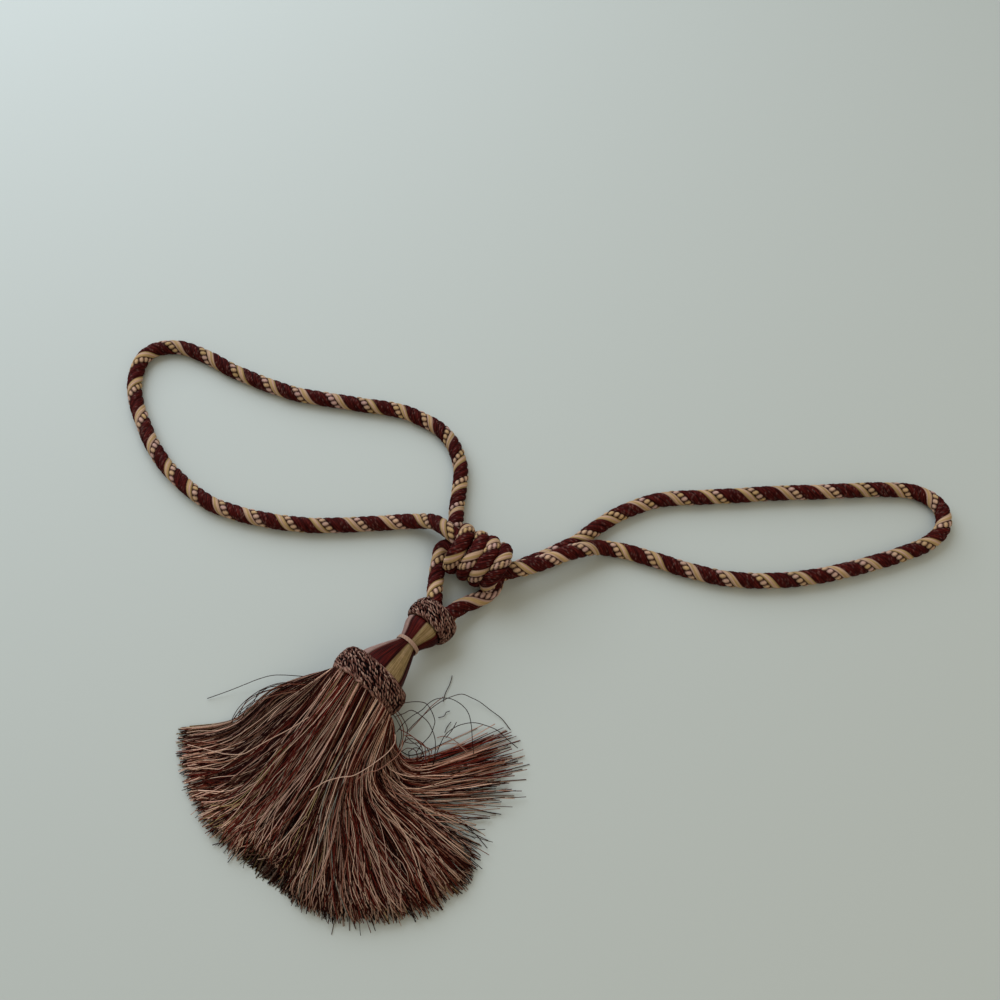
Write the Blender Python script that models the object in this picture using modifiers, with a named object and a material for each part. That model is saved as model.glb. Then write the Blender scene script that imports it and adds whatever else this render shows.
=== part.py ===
"""Curtain tieback: a twisted cord knotted into two loops, carrying a tassel.

The tieback lies loosely on a flat surface, z = 0. The origin is on that surface, under the
middle of the tassel's fanned skirt. X runs along the two loops, Y from the skirt to the loops.
Route and table values are in millimetres, everything handed to Blender is in metres.
"""
import math

import bmesh
import bpy
from mathutils import Matrix, Vector

MM = 0.001
FIT_GAP = 0.4                    # clearance kept between neighbouring pieces, mm
WELD_DISTANCE = 0.00001          # points of one piece nearer than this are one, m
SHARP_EDGE_ANGLE = 40            # degrees; softer edges are shaded smooth

# ---- cord ---------------------------------------------------------------------------------
CORD_DIAMETER = 9.5              # decorator's twisted cord, 3/8 inch
CORD_RADIUS = CORD_DIAMETER / 2
CORD_POINT_SPACING = 20.0        # distance between the points of a cord's solid, mm
CORD_END_STEPS = (1.5, 6.0)      # short steps at a cut end, so that its face stays square, mm
CORD_JOINT_GAP = 0.7             # between a loop's or hanger's solid and its end in the knot
CORD_BEVEL_RESOLUTION = 3        # ten sides
HANGER_SPACING = 7.0             # closer points on the two short hanger strands
STUB_SPACING = 5.0               # and on the ends inside the knot
ROUTE_STEPS = 12                 # samples between two route points of the smooth curve
FLOOR = CORD_RADIUS + 0.05       # height of a cord's centre where it lies on the surface

# Routes, (x, y, z) in mm, in the order in which the one cord runs. The first and last points of
# a route lie inside the knot or the collar.
LEFT_LOOP = (
    (59, 143, 13), (54.5, 150.5, 12.5), (55.5, 158, 10.5), (55.5, 165.5, 8), (55.5, 173.5, 5.8),
    (56, 183, FLOOR), (56.5, 197.5, FLOOR), (53.5, 211.5, FLOOR), (45.5, 225.5, FLOOR),
    (33.5, 234.5, FLOOR), (15.5, 242, FLOOR), (-6.5, 245, FLOOR), (-29, 248, FLOOR),
    (-51.5, 251.5, FLOOR), (-74, 259, FLOOR), (-95, 268, FLOOR), (-114.5, 278.5, FLOOR),
    (-132, 284.5, FLOOR), (-146, 282.5, FLOOR), (-154, 274, FLOOR), (-155.5, 261, FLOOR),
    (-153, 246, FLOOR), (-145, 228, FLOOR), (-133.5, 208, FLOOR), (-121, 192.5, FLOOR),
    (-107, 180, FLOOR), (-91.5, 169.5, FLOOR), (-72.5, 163, FLOOR), (-51, 159, FLOOR),
    (-29, 157.5, FLOOR), (-6.5, 159, FLOOR), (11.5, 161, FLOOR), (25.5, 162.5, 5.2),
    (35, 162, 7.5), (42.5, 159.5, 12), (48, 154.5, 17), (52.5, 149.5, 20.5), (60, 143, 20),
)
RIGHT_LOOP = (
    (84, 131, 5.5), (90, 133.5, 5), (96, 137, FLOOR), (103.5, 140.5, FLOOR), (111, 144.5, FLOOR),
    (119, 149, FLOOR), (128, 154.5, FLOOR), (136.5, 162, FLOOR), (147, 170.5, FLOOR),
    (161.5, 179, FLOOR), (179, 185.5, FLOOR), (200, 188, FLOOR), (223.5, 190.5, FLOOR),
    (248.5, 193.5, FLOOR), (273, 195.5, FLOOR), (297.5, 198, FLOOR), (318.5, 199.5, FLOOR),
    (333, 198.5, FLOOR), (343, 193.5, FLOOR), (348, 184.5, FLOOR), (345.5, 173.5, FLOOR),
    (335.5, 163.5, FLOOR), (317.5, 155, FLOOR), (295.5, 147, FLOOR), (274.5, 140.5, FLOOR),
    (253.5, 136, FLOOR), (233, 134, FLOOR), (213, 134.5, FLOOR), (193, 138.5, FLOOR),
    (173, 144.5, FLOOR), (158.5, 148.5, FLOOR), (147, 150, 5.8), (138.5, 149.2, 8.2),
    (131, 146.5, 10.8), (122.5, 143, 12.6), (114.5, 139, 13.6), (107, 135, 14.6),
    (100, 131.5, 15.4), (93, 129.2, 16), (84, 129, 16),
)
LEFT_HANGER = (
    (55, 144, 12), (49, 144, 9.6), (47.6, 138.5, 7.6), (46.8, 132, 6.5), (46.6, 124, 7),
    (46.4, 116, 9), (46.8, 110.5, 10.5), (46.9, 106, 11.5), (44.6, 102.8, 12.2),
)
RIGHT_HANGER = (
    (52.6, 96.9, 12.2), (55.2, 100.9, 11.5), (60.8, 107, 9.4), (67, 111.6, 6.8), (73, 115.2, 5.2),
    (78.4, 119.8, FLOOR), (81, 125.4, 6.2), (81.5, 129.8, 9), (80, 133, 12),
)
CORD_PIECES = (
    # name, route, spacing of its points, then for its start and its end the length that lies
    # hidden beyond the free stretch and whether the knot holds it
    ("left_loop", LEFT_LOOP, CORD_POINT_SPACING, (20.0, True), (24.0, True)),
    ("right_loop", RIGHT_LOOP, CORD_POINT_SPACING, (16.0, True), (18.0, True)),
    ("left_hanger", LEFT_HANGER, HANGER_SPACING, (22.0, True), (0.3, False)),
    ("right_hanger", RIGHT_HANGER, HANGER_SPACING, (0.4, False), (34.0, True)),
)

# ---- knot: a coil of turns round the crossing cords ------------------------------------------
KNOT_CENTRE = Vector((71.7, 134, 16))
KNOT_AXIS_ANGLE = -27.4          # degrees about Z; the coil's axis lies level
KNOT_TURNS = (
    # along the axis, outer radius
    (-13.4, 15.6),
    (-4.8, 15.6),
    (3.6, 15.9),
    (12.0, 15.2),
)
TURN_HALF_WIDTH = 4.2
TURN_PROFILE = (                 # along, drop: half of one turn's rounded back
    (1.0, 2.4),
    (0.6, 0.8),
    (0.0, 0.0),
    (-0.6, 0.8),
    (-1.0, 2.4),
)
KNOT_END_RADIUS = 9.0
KNOT_END_OVERHANG = 0.8          # flat end beyond the last turn's edge
KNOT_STEPS = 36

# ---- tassel head ------------------------------------------------------------------------------
COLLAR_CENTRE = Vector((46.4, 96.7, 12.8))
RUFF_CENTRE = Vector((16.6, 58.0, 19.6))
HEAD_FLATTEN = 0.9               # the soft head is this much lower than wide
HEAD_STEPS = 36
WAIST_RADIUS = 6.5
NECK_PROFILE = (
    # along the neck from the collar's centre, radius
    (-3.4, 8.2),
    (-2.6, 9.4),
    (5.6, 10.0),
    (7.2, 10.9),
    (10.5, 10.3),
    (14.5, 8.2),
    (18.6, WAIST_RADIUS),
    (21.4, WAIST_RADIUS),
    (26.0, 8.6),
    (32.0, 11.4),
    (38.0, 13.9),
    (42.6, 15.1),
    (44.4, 14.9),
    (49.0, 14.7),
    (50.4, 13.8),
)
COLLAR_HOLE_RADIUS = 10.4
COLLAR_OUTER_RADIUS = 13.9
COLLAR_HALF_LENGTH = 6.0
RUFF_AXIS_ANGLE = -128.0         # degrees about Z, level, pointing at the skirt
RUFF_HOLE_RADIUS = 16.9
RUFF_OUTER_RADIUS = 21.4
RUFF_HALF_LENGTH = 6.8
BAND_SEAT_SHARE = 0.82           # part of a collar's or ruff's length that lies on the neck
BAND_EDGE_SHARE = 0.35           # part of its thickness that its ends have
BAND_STEPS = 6
TIE_ALONG = 20.0                 # middle of the waist, along the neck
TIE_HALF_WIDTH = 1.1
TIE_THICKNESS = 1.1

# ---- skirt: one comb of yarn locks, fanned out on the surface ------------------------------------
SKIRT_ROOT_SIDE = 21.5           # half width of the bundle where it leaves the ruff
SKIRT_ROOT_SHIFT = 2.0           # the bundle sags to the ruff's right side by this much
SKIRT_ROOT_RISE = 16.5           # height of the bundle over the ruff's centre there
SKIRT_EDGE_HEIGHT = 19.0         # height of the bundle's sides there
SKIRT_ROOT_LEAD = 0.6            # how strongly the yarns keep their way out of the ruff
LOCKS = (
    # root: share of the way round the ruff from its left side; then three points of the lock
    # root    bend x, y, z        spread x, y, z      tip x, y, z
    (0.030,   -25, 58, 8,         -52, 39, 5,         -85, 31, 3.5),
    (0.070,   -25, 52, 10,        -52, 29, 6,         -83, 20, 4.5),
    (0.130,   -22, 45, 12,        -49, 19, 7,         -78, 7, 5.5),
    (0.200,   -19, 39, 14,        -44, 9, 8,          -71, -4, 6.5),
    (0.290,   -17, 32, 16,        -40, 0, 9,          -62, -17, 7.5),
    (0.390,   -13, 23, 18,        -34, -9, 10,        -50, -28, 7.5),
    (0.490,   -7, 12, 19,         -26, -20, 11,       -36, -35, 7),
    (0.580,   -1, 6, 20,          -16, -27, 11.5,     -24, -44, 6.5),
    (0.660,   3, 4, 20.5,         -5, -31, 12,        -11, -51, 6),
    (0.720,   7, 4, 21,           4, -33, 12,         3, -55, 6),
    (0.770,   10, 4, 21,          12, -33, 12,        18, -57, 6),
    (0.810,   13, 4, 20.5,        21, -32, 12,        34, -58, 6),
    (0.840,   16, 5, 20,          31, -29, 11.5,      48, -54, 6),
    (0.870,   19, 6, 19,          40, -23, 11,        62, -50, 6),
    (0.895,   21.5, 8, 18,        45, -15, 10.5,      74, -41, 5.5),
    (0.915,   23.5, 10.5, 17,     46, -9, 10,         80, -28, 5),
    (0.930,   25, 13, 16,         46, -4, 9.5,        82, -11, 4.5),
    (0.945,   26.5, 15.5, 15,     45, 0, 9,           98, 1, 4.5),
    (0.960,   28, 18, 13.5,       45, 4.5, 8,         103, 11, 4.5),
    (0.975,   30, 21, 12,         45.5, 9, 7,         103, 22, 4),
    (0.985,   32, 24, 10,         47, 13.5, 5,        98, 34, 3),
)
LOCK_COLUMNS = (                 # place within a lock, shortening of its yarns there
    (-0.5, 0.085),
    (-0.22, 0.0),
    (0.22, 0.012),
)
SKIRT_ROWS = 12

COLOURS = {
    # name: colour, roughness
    "cord": ((0.30, 0.11, 0.085), 0.75),
    "braid": ((0.33, 0.19, 0.16), 0.8),
    "satin": ((0.52, 0.38, 0.24), 0.45),
    "thread": ((0.62, 0.50, 0.36), 0.6),
    "fringe": ((0.34, 0.15, 0.12), 0.7),
}


# ---- small helpers ------------------------------------------------------------------------------
def clear_scene():
    for old in list(bpy.data.objects):
        bpy.data.objects.remove(old, do_unlink=True)


def new_collection(name):
    collection = bpy.data.collections.new(name)
    bpy.context.scene.collection.children.link(collection)
    return collection


def make_material(name):
    colour, roughness = COLOURS[name]
    material = bpy.data.materials.new(name)
    material.use_nodes = True
    shader = material.node_tree.nodes["Principled BSDF"]
    shader.inputs["Base Color"].default_value = (*colour, 1)
    shader.inputs["Roughness"].default_value = roughness
    shader.inputs["Metallic"].default_value = 0.0
    return material


def metres(point):
    return Vector(point) * MM


def finish_mesh(mesh, name, material, collection):
    obj = bpy.data.objects.new(name, mesh)
    mesh.materials.clear()
    mesh.materials.append(material)
    mesh.shade_smooth()
    mesh.set_sharp_from_angle(angle=math.radians(SHARP_EDGE_ANGLE))
    collection.objects.link(obj)
    return obj


def evaluated_mesh(obj):
    bpy.context.view_layer.update()
    graph = bpy.context.evaluated_depsgraph_get()
    return bpy.data.meshes.new_from_object(obj.evaluated_get(graph))


def level_direction(degrees):
    turn = math.radians(degrees)
    return Vector((math.cos(turn), math.sin(turn), 0))


def frame_along(axis, centre):
    """Matrix that lays local Z along axis, local X level and local Y as near upright as it can be."""
    axis = axis.normalized()
    side = Vector((0, 0, 1)).cross(axis).normalized()
    up = axis.cross(side)
    turn = Matrix((side, up, axis)).transposed().to_4x4()
    return Matrix.Translation(metres(centre)) @ turn


# ---- cord -------------------------------------------------------------------------------------
def smooth_route(points):
    """Catmull-Rom curve through the route's points, closely sampled."""
    points = [Vector(p) for p in points]
    ends = [2 * points[0] - points[1]] + points + [2 * points[-1] - points[-2]]
    samples = []
    for i in range(1, len(ends) - 2):
        a, b, c, d = ends[i - 1:i + 3]
        for k in range(ROUTE_STEPS):
            t = k / ROUTE_STEPS
            samples.append(
                0.5 * (2 * b + (c - a) * t + (2 * a - 5 * b + 4 * c - d) * t * t
                       + (3 * b - a - 3 * c + d) * t ** 3))
    return samples + [points[-1]]


def route_lengths(samples):
    lengths = [0.0]
    for a, b in zip(samples, samples[1:]):
        lengths.append(lengths[-1] + (b - a).length)
    return lengths


def stretch_points(samples, start, end, spacing, cut_start=True, cut_end=True):
    """Points of the route between two distances along it, evenly spaced, with short steps at cut ends."""
    lengths = route_lengths(samples)
    offsets = [0.0]
    for step in CORD_END_STEPS:
        offsets.append(offsets[-1] + min(step, spacing))
    wanted = [start + offset for offset in offsets] if cut_start else [start]
    closing = [end - offset for offset in reversed(offsets)] if cut_end else [end]
    inner = closing[0] - wanted[-1]
    count = max(1, round(inner / spacing))
    wanted += [wanted[-1] + inner * k / count for k in range(1, count)]
    wanted += closing
    points = []
    i = 0
    for want in wanted:
        while lengths[i + 1] < want:
            i += 1
        share = (want - lengths[i]) / (lengths[i + 1] - lengths[i])
        points.append(samples[i].lerp(samples[i + 1], share))
    return points


def cord_tube(name, points, material, collection):
    curve = bpy.data.curves.new(name, "CURVE")
    curve.dimensions = "3D"
    curve.bevel_depth = CORD_RADIUS * MM
    curve.bevel_resolution = CORD_BEVEL_RESOLUTION
    curve.use_fill_caps = True
    spline = curve.splines.new("POLY")
    spline.points.add(len(points) - 1)
    for spot, point in zip(spline.points, points):
        spot.co = (*metres(point), 1)
    curve.materials.append(material)
    obj = bpy.data.objects.new(name, curve)
    collection.objects.link(obj)
    return obj


def as_mesh_object(curve_object, collection):
    """A curve's tube as a mesh object with its caps welded on."""
    mesh = evaluated_mesh(curve_object)
    shape = bmesh.new()
    shape.from_mesh(mesh)
    bmesh.ops.remove_doubles(shape, verts=shape.verts, dist=WELD_DISTANCE)
    shape.to_mesh(mesh)
    shape.free()
    obj = bpy.data.objects.new(curve_object.name, mesh)
    obj.matrix_world = curve_object.matrix_world.copy()
    collection.objects.link(obj)
    bpy.data.objects.remove(curve_object)
    return obj


def cord_pieces(name, route, spacing, near, far, material, parts, cutters):
    """The free stretch of a route as a part, and the ends that lie in the knot as stubs.

    near and far are the last two columns of CORD_PIECES. The collar hides the ends that the knot
    doesn't hold.
    """
    samples = smooth_route(route)
    whole = route_lengths(samples)[-1]
    free_start = near[0]
    free_end = whole - far[0]
    cord_tube(name, stretch_points(samples, free_start, free_end, spacing), material, parts)
    held = []
    if near[1]:
        held.append((f"{name}_start", 0.0, free_start - CORD_JOINT_GAP, False))
    if far[1]:
        held.append((f"{name}_end", free_end + CORD_JOINT_GAP, whole, True))
    stubs = []
    for stub_name, start, end, cut_at_start in held:
        points = stretch_points(samples, start, end, STUB_SPACING, cut_at_start, not cut_at_start)
        stubs.append(as_mesh_object(cord_tube(stub_name, points, material, cutters), cutters))
    return stubs


# ---- turned shapes --------------------------------------------------------------------------------
def turned(name, profile, axis, centre, steps, material, collection, flatten=1.0, closed=False):
    """Screw a profile of (along, radius) pairs, in mm, about axis through centre."""
    mesh = bpy.data.meshes.new(name)
    corners = [(radius * MM, 0, along * MM) for along, radius in profile]
    edges = [(i, i + 1) for i in range(len(corners) - 1)]
    if closed:
        edges.append((len(corners) - 1, 0))
    mesh.from_pydata(corners, edges, [])
    obj = bpy.data.objects.new(name, mesh)
    collection.objects.link(obj)
    screw = obj.modifiers.new("turn", "SCREW")
    screw.steps = steps
    screw.render_steps = steps
    screw.use_merge_vertices = True
    screw.merge_threshold = WELD_DISTANCE
    turned_mesh = evaluated_mesh(obj)
    bpy.data.objects.remove(obj)
    turned_mesh.transform(frame_along(axis, centre) @ Matrix.Diagonal((1, flatten, 1, 1)))
    return finish_mesh(turned_mesh, name, material, collection)


def knot_profile():
    """Rounded back of each turn, from the coil's far end down to its near end."""
    last = KNOT_TURNS[-1][0] + TURN_HALF_WIDTH + KNOT_END_OVERHANG
    first = KNOT_TURNS[0][0] - TURN_HALF_WIDTH - KNOT_END_OVERHANG
    profile = [(last, 0), (last, KNOT_END_RADIUS)]
    for along, radius in reversed(KNOT_TURNS):
        for share, drop in TURN_PROFILE:
            profile.append((along + share * TURN_HALF_WIDTH, radius - drop))
    return profile + [(first, KNOT_END_RADIUS), (first, 0)]


def roll_profile(hole, outer, half_length):
    """Closed section of a padded band: rounded outside, straight on the side of its hole."""
    thick = outer - hole
    bulge = 1 - BAND_EDGE_SHARE
    corners = [(half_length * BAND_SEAT_SHARE, hole)]
    for step in range(BAND_STEPS + 1):
        angle = math.pi * (0.5 - step / BAND_STEPS)
        radius = hole + thick * (BAND_EDGE_SHARE + bulge * math.cos(angle))
        corners.append((half_length * math.sin(angle), radius))
    corners.append((-half_length * BAND_SEAT_SHARE, hole))
    return corners


# ---- pieces ------------------------------------------------------------------------------------------
def add_knot(stubs, material, parts):
    axis = level_direction(KNOT_AXIS_ANGLE)
    knot = turned("knot", knot_profile(), axis, KNOT_CENTRE, KNOT_STEPS, material, parts)
    for stub in stubs:
        union = knot.modifiers.new(stub.name, "BOOLEAN")
        union.operation = "UNION"
        union.solver = "EXACT"
        union.object = stub
        stub.hide_render = True
        stub.display_type = "WIRE"
    return knot


def add_cord(material, parts, cutters):
    stubs = []
    for name, route, spacing, near, far in CORD_PIECES:
        stubs += cord_pieces(name, route, spacing, near, far, material, parts, cutters)
    add_knot(stubs, material, parts)


def add_head(materials, parts):
    neck_axis = RUFF_CENTRE - COLLAR_CENTRE
    far_end = (NECK_PROFILE[-1][0], 0)
    near_end = (NECK_PROFILE[0][0], 0)
    # the profile runs from the far end back to the collar, down the outer side
    neck = [far_end, *reversed(NECK_PROFILE), near_end]
    turned("neck", neck, neck_axis, COLLAR_CENTRE, HEAD_STEPS, materials["satin"], parts, HEAD_FLATTEN)
    collar = roll_profile(COLLAR_HOLE_RADIUS, COLLAR_OUTER_RADIUS, COLLAR_HALF_LENGTH)
    turned("collar", collar, neck_axis, COLLAR_CENTRE, HEAD_STEPS, materials["braid"], parts,
           HEAD_FLATTEN, closed=True)
    ruff = roll_profile(RUFF_HOLE_RADIUS, RUFF_OUTER_RADIUS, RUFF_HALF_LENGTH)
    turned("ruff", ruff, level_direction(RUFF_AXIS_ANGLE), RUFF_CENTRE, HEAD_STEPS, materials["braid"],
           parts, HEAD_FLATTEN, closed=True)
    waist = WAIST_RADIUS + FIT_GAP
    tie = [
        (TIE_ALONG + TIE_HALF_WIDTH, waist),
        (TIE_ALONG + TIE_HALF_WIDTH, waist + TIE_THICKNESS),
        (TIE_ALONG - TIE_HALF_WIDTH, waist + TIE_THICKNESS),
        (TIE_ALONG - TIE_HALF_WIDTH, waist),
    ]
    turned("waist_tie", tie, neck_axis, COLLAR_CENTRE, HEAD_STEPS, materials["thread"], parts,
           HEAD_FLATTEN, closed=True)


def root_at(share):
    """Where the yarns leave the ruff, at a share of the arch that their bundle makes there."""
    out = level_direction(RUFF_AXIS_ANGLE)
    side = Vector((-out.y, out.x, 0))
    angle = math.pi * (1 - share)
    face = RUFF_CENTRE + out * (RUFF_HALF_LENGTH + FIT_GAP)
    foot = face + side * (SKIRT_ROOT_SHIFT + SKIRT_ROOT_SIDE * math.cos(angle))
    arch = RUFF_CENTRE.z + SKIRT_ROOT_RISE - SKIRT_EDGE_HEIGHT
    rise = SKIRT_EDGE_HEIGHT + arch * math.sin(angle)
    return Vector((foot.x, foot.y, rise))


def lock_at(place):
    """Root, bend, spread and tip of the yarns at a place across the fan; locks lie at 0, 1, 2..."""
    i = min(max(int(place), 0), len(LOCKS) - 2)
    share = place - i
    row = [a + (b - a) * share for a, b in zip(LOCKS[i], LOCKS[i + 1])]
    return root_at(row[0]), Vector(row[1:4]), Vector(row[4:7]), Vector(row[7:10])


def yarn_point(place, along):
    """A point of the fan's top, from the ruff, along = 0, to the yarn's cut end, along = 1."""
    root, bend, spread, tip = lock_at(place)
    knots = [root + (root - bend) * SKIRT_ROOT_LEAD, root, bend, spread, tip, tip + (tip - spread)]
    span = min(int(along * 3), 2)
    t = along * 3 - span
    a, b, c, d = knots[span:span + 4]
    return 0.5 * (2 * b + (c - a) * t + (2 * a - 5 * b + 4 * c - d) * t * t
                  + (3 * b - a - 3 * c + d) * t ** 3)


def add_skirt(material, parts):
    """Loft of the fan's top over a flat underside, with the comb of lock ends along its rim."""
    columns = [(lock + offset, cut) for lock in range(len(LOCKS)) for offset, cut in LOCK_COLUMNS]
    columns.append((len(LOCKS) - 0.5, 0.0))
    shape = bmesh.new()
    top = []
    for place, cut in columns:
        step = (1.0 - cut) / SKIRT_ROWS
        top.append([shape.verts.new(metres(yarn_point(place, step * i))) for i in range(SKIRT_ROWS + 1)])
    for left, right in zip(top, top[1:]):
        for i in range(SKIRT_ROWS):
            shape.faces.new((left[i], left[i + 1], right[i + 1], right[i]))
    rim = [row[0] for row in reversed(top)]
    rim += top[0][1:]
    rim += [row[-1] for row in top[1:]]
    rim += list(reversed(top[-1][1:-1]))
    foot = [shape.verts.new((vert.co.x, vert.co.y, 0)) for vert in rim]
    count = len(rim)
    for i in range(count):
        j = (i + 1) % count
        shape.faces.new((rim[j], rim[i], foot[i], foot[j]))
    shape.faces.new(foot)
    bmesh.ops.triangulate(shape, faces=shape.faces)
    bmesh.ops.recalc_face_normals(shape, faces=shape.faces)
    mesh = bpy.data.meshes.new("skirt")
    shape.to_mesh(mesh)
    shape.free()
    return finish_mesh(mesh, "skirt", material, parts)


def main():
    clear_scene()
    parts = new_collection("curtain_tieback_tassel")
    cutters = new_collection("knot_cord_ends")
    materials = {name: make_material(name) for name in COLOURS}
    add_cord(materials["cord"], parts, cutters)
    add_head(materials, parts)
    add_skirt(materials["fringe"], parts)


main()
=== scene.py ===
# Curtain tieback tassel: a twisted rope knotted into two loops, with a tassel of loose yarns.
# Lengths in the settings are millimetres, and buildPiece turns them into metres.
import math

import bpy
import numpy as np
from mathutils import Matrix, Vector


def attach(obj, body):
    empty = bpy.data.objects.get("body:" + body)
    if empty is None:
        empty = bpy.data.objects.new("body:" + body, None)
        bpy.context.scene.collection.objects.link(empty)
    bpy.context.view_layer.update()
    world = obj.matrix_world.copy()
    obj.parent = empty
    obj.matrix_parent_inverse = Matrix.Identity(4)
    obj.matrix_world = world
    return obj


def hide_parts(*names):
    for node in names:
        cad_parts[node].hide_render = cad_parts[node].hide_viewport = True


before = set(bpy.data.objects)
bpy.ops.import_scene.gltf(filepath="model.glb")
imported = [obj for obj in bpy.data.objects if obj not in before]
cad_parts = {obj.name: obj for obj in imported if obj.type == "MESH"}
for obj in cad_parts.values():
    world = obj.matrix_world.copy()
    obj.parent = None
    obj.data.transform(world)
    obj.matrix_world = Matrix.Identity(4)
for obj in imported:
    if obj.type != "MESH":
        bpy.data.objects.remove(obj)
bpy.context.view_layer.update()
mm = 0.001
up = np.array((0.0, 0.0, 1.0))
uvScale = 100  # mm along a yarn for each unit of its UV map
# a Mix node of colours has its factor at input 0, the colours at 6 and 7, and the result at output 2
multiplyColours = {"data_type": "RGBA", "blend_type": "MULTIPLY", 0: 1.0}


# small helpers

def linear(hexCode):  # sRGB hex to linear RGBA
    channels = [int(hexCode[i:i + 2], 16) / 255 for i in (1, 3, 5)]
    return tuple(c / 12.92 if c <= 0.04045 else ((c + 0.055) / 1.055) ** 2.4 for c in channels) + (1.0,)


def addNode(tree, kind, settings=None, links=None):  # a link from a node takes its first output
    node = tree.nodes.new("ShaderNode" + kind)
    for name, value in (settings or {}).items():
        if isinstance(name, int) or name in node.inputs:
            node.inputs[name].default_value = value
        else:
            setattr(node, name, value)
    for name, source in (links or {}).items():
        socket = source if isinstance(source, bpy.types.NodeSocket) else source.outputs[0]
        tree.links.new(socket, node.inputs[name])
    return node


def newMaterial(name, finish):  # a Principled material and its tree, finish holds socket values
    material = bpy.data.materials.new(name)
    material.use_nodes = True
    shader = material.node_tree.nodes["Principled BSDF"]
    for socket, value in finish.items():
        shader.inputs[socket].default_value = value
    return material, material.node_tree, shader


def yarnInputs(tree):  # what a piece carries for each point: its yarn map's three parts and its UV map
    yarnMap = addNode(tree, "Attribute", {"attribute_name": "yarnMap"})
    parts = addNode(tree, "SeparateColor", links={"Color": yarnMap})
    return (*parts.outputs, addNode(tree, "UVMap", {"uv_map": "UVMap"}))


def crests(tree, source, count):  # a wave with this many crests for each unit of its source
    angle = addNode(tree, "Math", {"operation": "MULTIPLY", 1: 2 * math.pi * count}, {0: source})
    return addNode(tree, "Math", {"operation": "SINE"}, {0: angle})


def shadedBy(tree, colour, factors):  # a colour times each factor: source, its range, the factor's range
    for source, first, last, low, high in factors:
        factor = addNode(tree, "MapRange", {
            "From Min": first, "From Max": last, "To Min": low, "To Max": high}, {"Value": source})
        colour = addNode(tree, "Mix", multiplyColours, {6: colour, 7: factor}).outputs[2]
    return colour


def finishMaterial(tree, shader, colour, height, strength, distance):  # links the colour and a fine relief
    bump = addNode(tree, "Bump", {"Strength": strength, "Distance": distance}, {"Height": height})
    tree.links.new(colour, shader.inputs["Base Color"])
    tree.links.new(bump.outputs["Normal"], shader.inputs["Normal"])


def setRamp(ramp, stops):  # (place, hex) pairs, first to last
    elements = ramp.color_ramp.elements
    while len(elements) < len(stops):
        elements.new(1.0)
    for element, (position, hexCode) in zip(elements, stops):
        element.position = position
        element.color = linear(hexCode)


def unit(vectors):
    return vectors / np.maximum(np.linalg.norm(vectors, axis=-1, keepdims=True), 1e-12)


def stacked(*parts):  # numbers and arrays side by side, as the parts of one value for each point
    return np.stack(np.broadcast_arrays(*parts), axis=-1)


def levelAxis(degrees):  # a level direction, by its degrees about Z
    return np.array((math.cos(math.radians(degrees)), math.sin(math.radians(degrees)), 0.0))


def ringPoints(centres, side, other, radius, turn):  # points round centres, turned from side to other
    return (centres + (radius * np.cos(turn))[..., None] * side
            + (radius * np.sin(turn))[..., None] * other)


def newObject(name, data):
    made = bpy.data.objects.new(name, data)
    bpy.context.scene.collection.objects.link(made)
    return made


def buildPiece(name, material, slot, points, faces, values, uv):
    # points in mm, faces as rows of 3 or 4 indices, values one RGBA per point, uv one pair per point
    mesh = bpy.data.meshes.new(name)
    points = np.asarray(points, dtype=np.float64).reshape(-1, 3) * mm
    sizes = np.concatenate([np.full(len(f), f.shape[1]) for f in faces])
    corners = np.concatenate([f.ravel() for f in faces]).astype(np.int32)
    mesh.vertices.add(len(points))
    mesh.vertices.foreach_set("co", points.astype(np.float32).ravel())
    mesh.loops.add(len(corners))
    mesh.loops.foreach_set("vertex_index", corners)
    mesh.polygons.add(len(sizes))
    mesh.polygons.foreach_set("loop_start", np.concatenate(([0], np.cumsum(sizes)[:-1])).astype(np.int32))
    mesh.polygons.foreach_set("use_smooth", np.ones(len(sizes), dtype=bool))
    mesh.update(calc_edges=True)
    layer = mesh.color_attributes.new("yarnMap", "FLOAT_COLOR", "POINT")
    layer.data.foreach_set("color", np.asarray(values, dtype=np.float32).ravel())
    layer = mesh.uv_layers.new(name="UVMap")
    layer.data.foreach_set("uv", np.asarray(uv, dtype=np.float32).reshape(-1, 2)[corners].ravel())
    mesh.materials.append(material)
    piece = newObject(name, mesh)
    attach(piece, "root")
    return piece


def tubeFaces(rows, columns):  # quads of a tube of rows rings, wound to face outwards
    i = np.arange(rows - 1)[:, None] * columns
    j = np.arange(columns)[None, :]
    k = (j + 1) % columns
    return np.stack((i + j, i + k, i + columns + k, i + columns + j), axis=-1).reshape(-1, 4)


def endFans(first, rows, columns):  # closes a tube's ends round two middle points, first and the next
    last = (rows - 1) * columns
    j = np.arange(columns)
    k = (j + 1) % columns
    start = np.stack((np.full(columns, first), k, j), axis=-1)
    end = np.stack((np.full(columns, first + 1), last + j, last + k), axis=-1)
    return np.vstack((start, end))


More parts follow.
